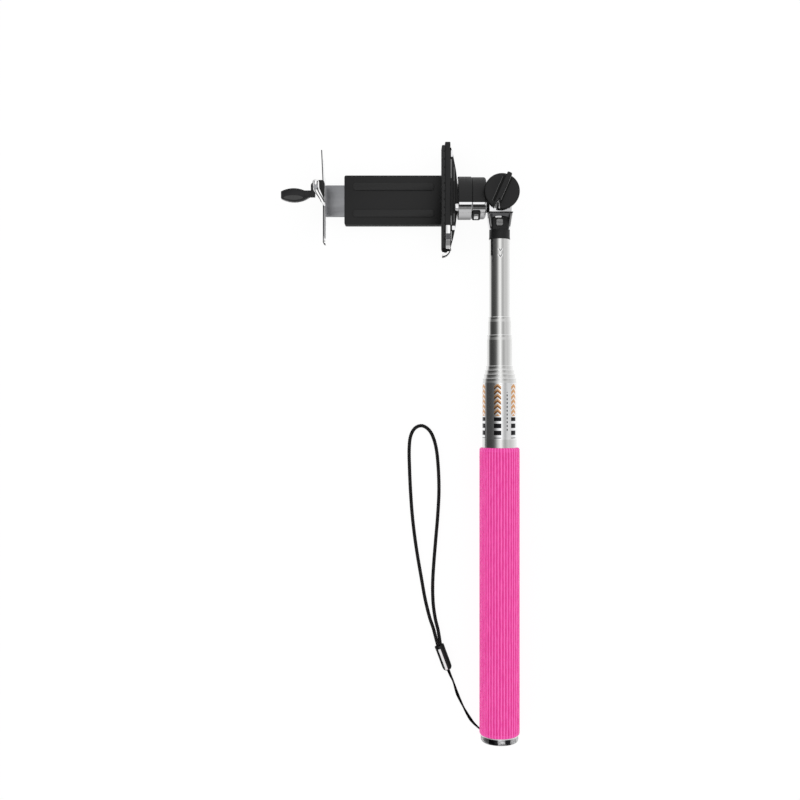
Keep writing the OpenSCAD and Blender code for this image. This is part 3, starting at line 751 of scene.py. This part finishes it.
def build_knob():
    """Painted shade on the knob's sides, at the bar's feet and on a strip of its top; painted highlights on the
    bar's right edge and in a line by its left foot; and a clip shows in the notch.
    """
    # Painted shade: the knob's sloping sides are darker.
    recolour(softened("knob_body", 0.22), SHADED, lambda middle, normal: normal.z < 0.7)
    for name, u0, u1, v0, v1, low, high, material in (
            ("knob_flank_shade", -2.3, -1.18, -6.0, 7.3, -0.2, 0.12, PAINTED_SHADE),
            ("knob_left_highlight", -2.62, -2.36, -6.4, 6.6, -0.2, 0.16, PAINTED_GLEAM),
            ("knob_bar_shade", 0.3, 0.98, -4.0, 9.0, 1.9, 2.23, PAINTED_SHADE),
            ("knob_edge_highlight", 1.0, 1.34, -4.8, 8.7, 1.9, 2.26, STREAK_GREY),
            ("knob_right_shade", 1.3, 2.2, -6.0, 7.6, -0.2, 0.1, PAINTED_SHADE)):
        prism(name, [(u0, v0), (u1, v0), (u1, v1), (u0, v1)], KNOB_FACE + low, KNOB_FACE + high,
              on_knob, material, "knob", 0.05)

    plate = [(-4.3, -6.95), (-2.0, -5.0), (-2.35, -6.4), (-2.6, -8.4), (-3.4, -7.95)]
    clip = [(-2.1, -5.2), (-1.5, -3.95), (-1.1, -5.2)]
    wire = [(-1.5, -5.2), (-1.1, -5.2), (-1.0, -8.3), (-1.4, -8.3)]
    for name, outline, rise, material in (("notch_plate", plate, 1.0, STREAK_GREY),
                                          ("notch_clip", clip, 1.8, STREAK),
                                          ("notch_wire", wire, 1.6, STREAK)):
        prism(name, outline, NOTCH_FACE, NOTCH_FACE + rise, from_pivot, material, "knob", 0.06)


build_knob()


# ---------------------------------------------------------------- painted light on the clevis, and the tubes' mouths
def paint_clevis_light():
    """A painted shadow under the clevis's bright band, painted highlights on its pale flanks and a painted glint
    above the screw.
    """
    # Painted shadow, painted highlights and a painted glint.
    shadow = [(-6.2, 265.45), (6.2, 265.45), (6.2, 266.0), (-6.2, 266.0)]
    left = [(-5.9, 264.9), (-5.3, 264.9), (-4.5, 258.6), (-4.95, 258.6)]
    right = [(4.9, 264.9), (5.75, 264.9), (4.85, 258.6), (4.3, 258.6)]
    for name, outline, rise, material in (("clevis_shadow", shadow, 0.04, SHADED),
                                          ("clevis_flank_left", left, 0.03, STREAK_GREY),
                                          ("clevis_flank_right", right, 0.03, STREAK_GREY)):
        prism(name, outline, CLEVIS_FACE - 0.4, CLEVIS_FACE + rise, at, material,
              "pole_7", 0.04)
    prism("collar_glint", round_rect(-2.6, 263.2, 0.5, 263.95, 0.3), 4.6, 5.75, at, STREAK, "pole_7",
          0.08)


def build_lip_rings():
    """A bright rolled edge on the mouth of each tube."""
    tubes = ["outer_tube"] + ["tube_%d" % n for n in range(2, 8)]
    steps = 96
    for k, (outer, inner) in enumerate(zip(tubes, tubes[1:]), 1):
        low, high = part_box(inner)
        radius = (high.x - low.x) / 2 / MM + 0.3
        mouth = (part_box(outer)[1].y - AXIS.y) / MM + 0.2
        turns = [2 * math.pi * n / steps for n in range(steps + 1)]
        ring = [at(radius * math.sin(turn), mouth, radius * math.cos(turn)) for turn in turns]
        swept("lip_ring_%d" % k, ring, rippled(0.22, 0.006), 8, BRIGHT_CHROME, BODY_OF[outer])


paint_clevis_light()
build_lip_rings()


# ---------------------------------------------------------------- neck: painted light on the lug's window and the rings
LUG_TURN = math.radians(62)


def on_lug(x, y, z):
    """A point on the finger lug: x along the neck, y round it, z out from its axis."""
    turned_y = y * math.cos(LUG_TURN) - z * math.sin(LUG_TURN)
    turned_z = y * math.sin(LUG_TURN) + z * math.cos(LUG_TURN)
    return Vector((AXIS.x, NECK.y, AXIS.z)) + Vector((x, turned_y, turned_z)) * MM


def build_lug_window():
    """The lug's end shows a painted highlight as a bright field and a painted reflection as a grey field."""
    # Painted highlight and painted reflection on the lug's end.
    for name, y0, y1, rise, material in (("lug_window_bright", -2.1, 0.3, 0.05, STREAK),
                                         ("lug_window_grey", 0.5, 1.9, 0.04, STREAK_GREY)):
        prism(name, round_rect(-13.2, y0, -11.1, y1, 0.4), LUG_FACE - 0.3, LUG_FACE + rise, on_lug,
              material, "neck_ring", 0.08)


build_lug_window()


def build_neck_shade():
    """Painted reflections where the polished neck mirrors the edge of its cover, on both of its rings: a dark line
    and a grey band below it.
    """
    # Painted reflections: dark lines and grey bands on the neck's rings.
    for name, x0, x1, radius, low, high, material, body in (
            ("foot_shade", -20.9, -14.75, 10.8, -5.75, -5.15, SHADED, "holder"),
            ("foot_grey_reflection", -20.9, -14.75, 10.8, -6.9, -5.75, STREAK_GREY, "holder"),
            ("ring_shade", -14.0, -7.5, 10.5, -5.75, -5.15, SHADED, "neck_ring"),
            ("ring_grey_reflection", -14.0, -7.5, 10.5, -6.9, -5.75, PAINTED_GLEAM, "neck_ring")):
        points = []
        steps = 6
        for k in range(steps + 1):
            turn = math.asin((low + (high - low) * k / steps) / radius)
            for x, r in ((x0, radius - 0.05), (x1, radius - 0.05), (x1, radius + 0.03), (x0, radius + 0.03)):
                points.append(at(x, NECK_Y + r * math.sin(turn), r * math.cos(turn)))
        outward(new_piece(name, points, ring_faces(steps + 1, 4), [material], body))


build_neck_shade()


# ---------------------------------------------------------------- fixed jaw: bow, tabs and hook
def build_bow_highlights_and_tabs():
    """Painted highlights in pale lines along the bow, its two chrome tabs and a small hole."""
    # The pale lines are painted highlights along the bow; the tabs are chrome parts.
    for name, x0, x1, y0, y1, material in (
            ("bow_line_upper", -24.95, -24.3, 283.0, 292.4, STREAK_GREY),
            ("bow_line_lower", -24.95, -24.35, 259.6, 264.2, STREAK_GREY),
            ("bow_second_upper", -23.4, -22.85, 281.5, 288.5, PAINTED_GLEAM),
            ("bow_second_lower", -23.4, -22.9, 261.0, 265.4, PAINTED_GLEAM),
            ("bow_line_low", -24.75, -24.38, 251.4, 256.4, STREAK),
            ("bow_tab_upper", -24.7, -23.75, 293.6, 296.9, CHROME),
            ("bow_tab_lower", -24.2, -22.6, 257.0, 259.1, CHROME)):
        prism(name, round_rect(x0, y0, x1, y1, 0.22), BOW_FACE - 0.5, BOW_FACE + 0.06, at, material,
              "holder", 0.05)
    prism("bow_hole", ellipse(-24.15, 292.9, 0.42, 0.42), BOW_FACE, BOW_FACE + 0.1, at, RUBBER,
          "holder")


def build_hook():
    """The hook's plate is bright at its top, with painted dark and grey reflections below; its side walls and the
    outline of its curl are painted dark as shade, and two ribs show as dark lines.
    """
    hook = softened("jaw_hook", 0.1, material=BRIGHT_CHROME)
    # Painted shade on the hook's side walls.
    recolour(hook, CHROME_PAINTED_DARK, lambda middle, normal: abs(normal.z) < 0.3)
    curl_x, curl_y, curl_r = -29.1, 247.68, 4.05
    turns = [math.radians(degrees) for degrees in range(-90, 4, 3)]
    arc = [at(curl_x + curl_r * math.cos(turn), curl_y + curl_r * math.sin(turn), HOOK_FACE)
           for turn in turns]
    swept("hook_outline", arc, rippled(0.24, 0.01), 8, CHROME_PAINTED_DARK, "holder")
    # Painted reflections on the hook's plate: a dark band and a grey band.
    dark = [(-27.25, 251.9), (-25.22, 251.9), (-25.22, 255.1), (-27.25, 255.1)]
    grey = [(-27.5, 248.9), (-25.22, 248.9), (-25.22, 251.8), (-27.3, 251.8)]
    prism("hook_dark_reflection", dark, HOOK_FACE, HOOK_FACE + 0.16, at, DIM_REFLECTION_METAL, "holder", 0.05)
    prism("hook_grey_reflection", grey, HOOK_FACE, HOOK_FACE + 0.14, at, STREAK_GREY, "holder", 0.05)
    prism("hook_stop", round_rect(-29.2, 246.1, -25.35, 247.6, 0.4), HOOK_FACE - 3.3, HOOK_FACE + 0.12, at,
          SHADED, "holder", 0.1)
    for k, y in enumerate((248.6, 248.0), 1):
        prism("hook_rib_%d" % k, round_rect(-27.2, y - 0.14, -25.35, y + 0.14, 0.12), HOOK_FACE - 0.3,
              HOOK_FACE + 0.14, at, SHADED, "holder", 0.03)


build_bow_highlights_and_tabs()
build_hook()


# ---------------------------------------------------------------- sliding jaw and lever
PAD_X, PAD_Y = -103.0, 273.9
PAD_HALF_WIDTH = 3.25
PAD_SIDE_R = 13.5
PAD_REACH = 6.3
CAM_ROUTE = [(0.1, 3.0), (0.0, 1.0), (0.3, -1.4), (1.4, -3.6), (2.6, -5.6), (3.6, -7.6)]

plate = softened("slide_plate", 0.05)
recolour(plate, CHROME, lambda middle, normal: normal.x > 0.7)


def lens(inset):
    """The outline of the lever's thumb pad, a margin inside its edge."""
    half, side_r, reach = PAD_HALF_WIDTH - inset, PAD_SIDE_R - inset, PAD_REACH - inset
    steps = 28
    upper = []
    for k in range(steps + 1):
        x = -reach + 2 * reach * k / steps
        upper.append((x, half - side_r + math.sqrt(side_r ** 2 - x ** 2)))
    lower = [(x, -y) for x, y in reversed(upper)]
    return [(PAD_X + x, PAD_Y + y) for x, y in upper + lower]


def build_lever():
    """A rim and a grey oval, a painted highlight, on the thumb pad; painted shade on the cam's side walls; and two
    dark lines along the bright cam.
    """
    rim_line = [at(x, y, PAD_FACE - 0.02) for x, y in lens(0.55)]
    rim_line.append(rim_line[0])
    swept("pad_rim", rim_line, rippled(0.22, 0.01, waves=4), 8, PAD_RIM, "lever")
    # Painted highlight: the grey oval on the dished pad.
    prism("pad_ellipse", ellipse(PAD_X - 0.2, PAD_Y - 1.55, 5.0, 1.4), PAD_FACE - 0.4, PAD_FACE + 0.1, at,
          PAD_HIGHLIGHT, "lever", 0.3)
    cam = softened("cam_link", 0.25, material=BRIGHT_CHROME)
    # Painted shade on the cam's side walls.
    recolour(cam, CHROME_PAINTED_DARK,
             lambda middle, normal: abs(normal.z) < 0.3 and (normal.y > -0.2 or middle.y > HUB_Y))
    for name, shift, radius in (("cam_groove_left", -0.75, 0.16), ("cam_groove_right", 0.7, 0.26)):
        line = smooth_line([at(HUB_X + shift + x, HUB_Y + y, CAM_FACE) for x, y in CAM_ROUTE], 6)
        swept(name, line, rippled(radius, 0.05 * radius), 8, CHROME_PAINTED_DARK, "lever")


build_lever()


# ---------------------------------------------------------------- end cap
def build_cap_reflection():
    """The upper side of the cap carries a painted reflection of a busy room: it is speckled, with two dark
    stretches.
    """
    cap = softened("end_cap", 0.15, material=CHROME)

    def mirrors_room(middle, normal):
        return middle.z > 0 and middle.y < 3.2

    def dark(middle, normal):
        return mirrors_room(middle, normal) and (-6.2 < middle.x < -1.6 or 2.2 < middle.x < 5.0)

    # Painted reflection: speckle and dark stretches on the cap's upper side.
    recolour(cap, ROOM_REFLECTION_CHROME, mirrors_room)
    recolour(cap, CHROME_PAINTED_DARK, dark)


build_cap_reflection()


# ---------------------------------------------------------------- floor and light
def build_floor():
    """A floor that looks white by its own light, reflects little and is hidden from mirror rays."""
    mesh = bpy.data.meshes.new("floor")
    half, gap = 3.0, 0.0002
    corners = [(-half, -half, 0), (half, -half, 0), (half, half, 0), (-half, half, 0)]
    mesh.from_pydata(corners, [], [(0, 1, 2, 3)])
    floor = bpy.data.objects.new("floor", mesh)
    bpy.context.scene.collection.objects.link(floor)
    floor.location.z = GROUND - gap
    floor.visible_glossy = False
    material, tree, shader = new_material("pale_floor")
    shader.inputs["Base Color"].default_value = (0.07, 0.07, 0.07, 1)
    shader.inputs["Roughness"].default_value = 0.9
    shader.inputs["Specular IOR Level"].default_value = 0.0
    shader.inputs["Emission Color"].default_value = (1, 1, 1, 1)
    shader.inputs["Emission Strength"].default_value = 0.94
    mesh.materials.append(material)


# What polished metal mirrors, by the angle from straight up in degrees, towards each side.
SKY_RIGHT = [(0, 1.16), (4, 1.2), (14, 0.82), (24, 0.54), (35, 0.46), (47, 0.63), (59, 0.70), (72, 0.66),
             (86, 0.75), (102, 0.85), (123, 1.0)]
SKY_LEFT = [(0, 1.16), (8, 0.87), (18, 0.64), (30, 0.26), (42, 0.11), (55, 0.07), (70, 0.055), (97, 0.055),
            (116, 0.35), (122, 0.85), (150, 0.95)]
SKY_NEAR = [(0, 1.0), (20, 1.1), (41, 1.15), (44, 0.04), (47, 0.04), (50, 0.12), (60, 0.20), (66, 0.46),
            (76, 0.60), (104, 0.58), (122, 0.5), (142, 0.3), (165, 0.2)]
SKY_FAR = [(0, 1.1), (30, 1.05), (60, 0.95), (150, 1.0)]


def build_world():
    """A soft studio: even light on matt surfaces, and a shaped reflection for polished ones."""
    world = bpy.data.worlds.new("studio")
    bpy.context.scene.world = world
    world.use_nodes = True
    tree = world.node_tree
    background = tree.nodes["Background"]
    output = tree.nodes["World Output"]
    place = add(tree, "ShaderNodeTexCoord")
    parts = add(tree, "ShaderNodeSeparateXYZ")
    join(tree, place.outputs["Generated"], parts.inputs["Vector"])
    x, y, z = parts.outputs
    angle = maths(tree, "DIVIDE", maths(tree, "ARCCOSINE", z), math.pi)

    def sky(stops):
        return ramp(tree, angle, [(degrees / 180, value) for degrees, value in stops])

    across = maths(tree, "MULTIPLY", x, x)
    along = maths(tree, "MULTIPLY", y, y)
    share = maths(tree, "DIVIDE", along, maths(tree, "ADD", maths(tree, "ADD", across, along), 1e-6))
    sideways = blend_colours(tree, maths(tree, "GREATER_THAN", x, 0.0), sky(SKY_LEFT), sky(SKY_RIGHT))
    lengthways = blend_colours(tree, maths(tree, "GREATER_THAN", y, 0.0), sky(SKY_NEAR), sky(SKY_FAR))
    join(tree, blend_colours(tree, share, sideways, lengthways), background.inputs["Color"])
    plain = add(tree, "ShaderNodeBackground", Color=(1, 1, 1, 1), Strength=1.0)
    rays = add(tree, "ShaderNodeLightPath")
    mix = add(tree, "ShaderNodeMixShader")
    join(tree, rays.outputs["Is Glossy Ray"], mix.inputs["Fac"])
    join(tree, plain.outputs[0], mix.inputs[1])
    join(tree, background.outputs[0], mix.inputs[2])
    join(tree, mix.outputs[0], output.inputs["Surface"])


build_floor()
build_world()
